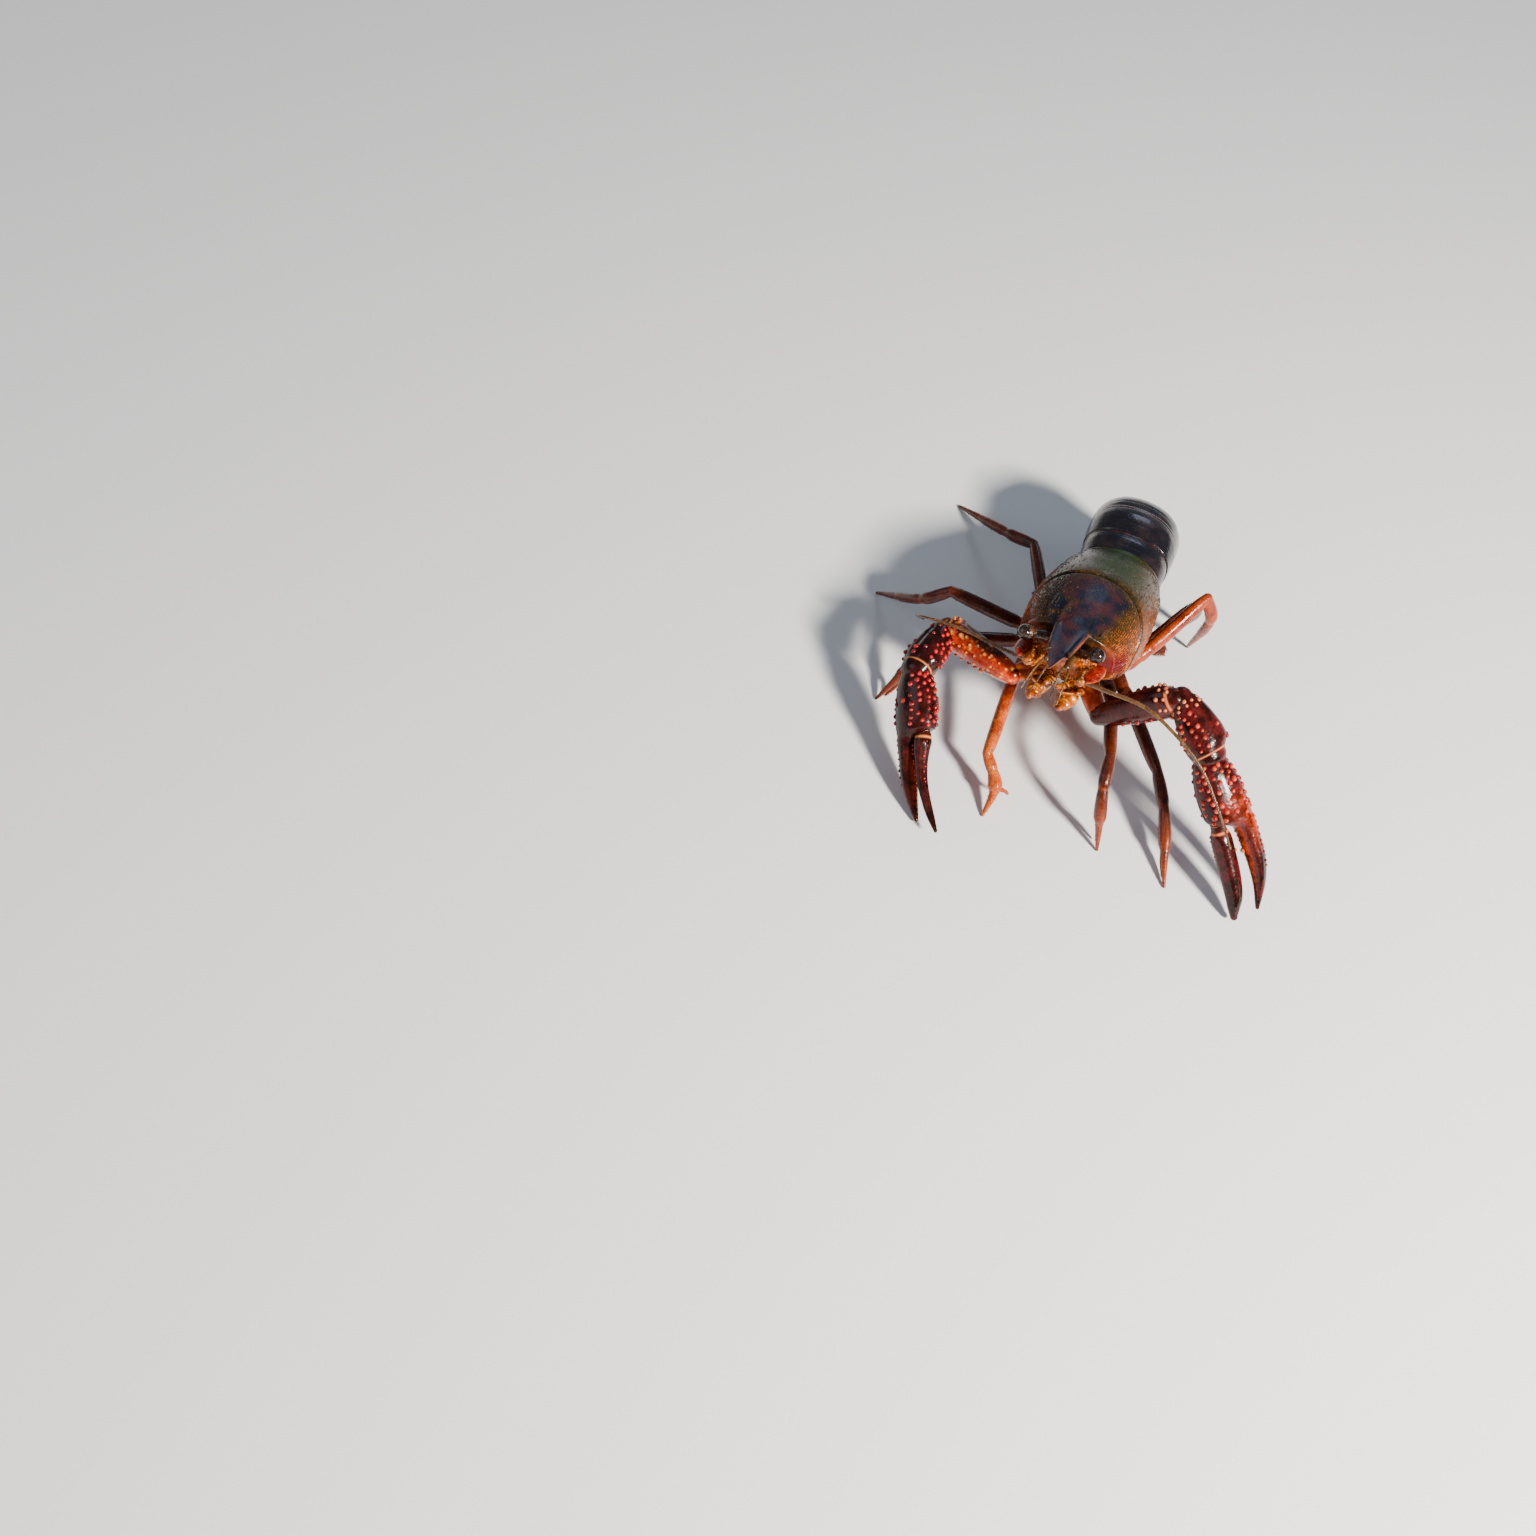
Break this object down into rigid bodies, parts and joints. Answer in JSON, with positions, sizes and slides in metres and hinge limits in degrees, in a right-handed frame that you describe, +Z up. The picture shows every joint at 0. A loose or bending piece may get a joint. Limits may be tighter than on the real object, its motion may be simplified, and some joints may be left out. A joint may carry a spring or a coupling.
{
  "type": "life-size crayfish display model",
  "caption": "Still, life-size model of a red swamp crayfish with raised claws spread and the tail curled under, standing on its walking legs and tail fan.",
  "frame": {"origin": "on the floor, below the middle of the box around the whole animal", "axes": "+Z up from the floor; the head points to -Y and the tail to +Y; +X is the animal's left"},
  "size_m": [0.0964, 0.0901, 0.034],
  "materials": {
    "carapace_shell": "wet, dark olive-green shell with granules",
    "underside_shell": "orange-brown shell",
    "abdomen_shell": "wet, near-black shell with reddish edges",
    "claw_shell": "dark maroon shell with bright red tubercles",
    "leg_shell": "glossy red-brown shell",
    "mouth_shell": "orange-yellow shell",
    "feeler_shell": "olive-brown ringed shell",
    "eye_surface": "polished near-black"
  },
  "bodies": {
    "root": {"abdomen_1": "abdomen_shell", "abdomen_2": "abdomen_shell", "abdomen_3": "abdomen_shell", "abdomen_4": "abdomen_shell", "abdomen_5": "abdomen_shell", "abdomen_6": "abdomen_shell", "antenna_base_left": "mouth_shell", "antenna_base_right": "mouth_shell", "antenna_left": "feeler_shell", "antenna_right": "feeler_shell", "antenna_scale_left": "mouth_shell", "antenna_scale_right": "mouth_shell", "antennule_left": "feeler_shell", "antennule_right": "feeler_shell", "carapace": "carapace_shell", "claw_carpus_left": "claw_shell", "claw_carpus_right": "claw_shell", "claw_finger_left": "claw_shell", "claw_finger_right": "claw_shell", "claw_ischium_left": "claw_shell", "claw_ischium_right": "claw_shell", "claw_merus_left": "claw_shell", "claw_merus_right": "claw_shell", "claw_palm_left": "claw_shell", "claw_palm_right": "claw_shell", "eye_left": "eye_surface", "eye_right": "eye_surface", "eyestalk_left": "mouth_shell", "eyestalk_right": "mouth_shell", "leg_2_lower_left": "leg_shell", "leg_2_lower_right": "leg_shell", "leg_2_upper_left": "leg_shell", "leg_2_upper_right": "leg_shell", "leg_3_lower_left": "leg_shell", "leg_3_lower_right": "leg_shell", "leg_3_upper_left": "leg_shell", "leg_3_upper_right": "leg_shell", "leg_4_lower_left": "leg_shell", "leg_4_lower_right": "leg_shell", "leg_4_upper_left": "leg_shell", "leg_4_upper_right": "leg_shell", "leg_5_lower_left": "leg_shell", "leg_5_lower_right": "leg_shell", "leg_5_upper_left": "leg_shell", "leg_5_upper_right": "leg_shell", "maxilliped_left": "mouth_shell", "maxilliped_right": "mouth_shell", "tail_blade_inner_left": "abdomen_shell", "tail_blade_inner_right": "abdomen_shell", "tail_blade_outer_left": "abdomen_shell", "tail_blade_outer_right": "abdomen_shell", "telson": "abdomen_shell", "underside": "underside_shell"}
  },
  "joints": []
}
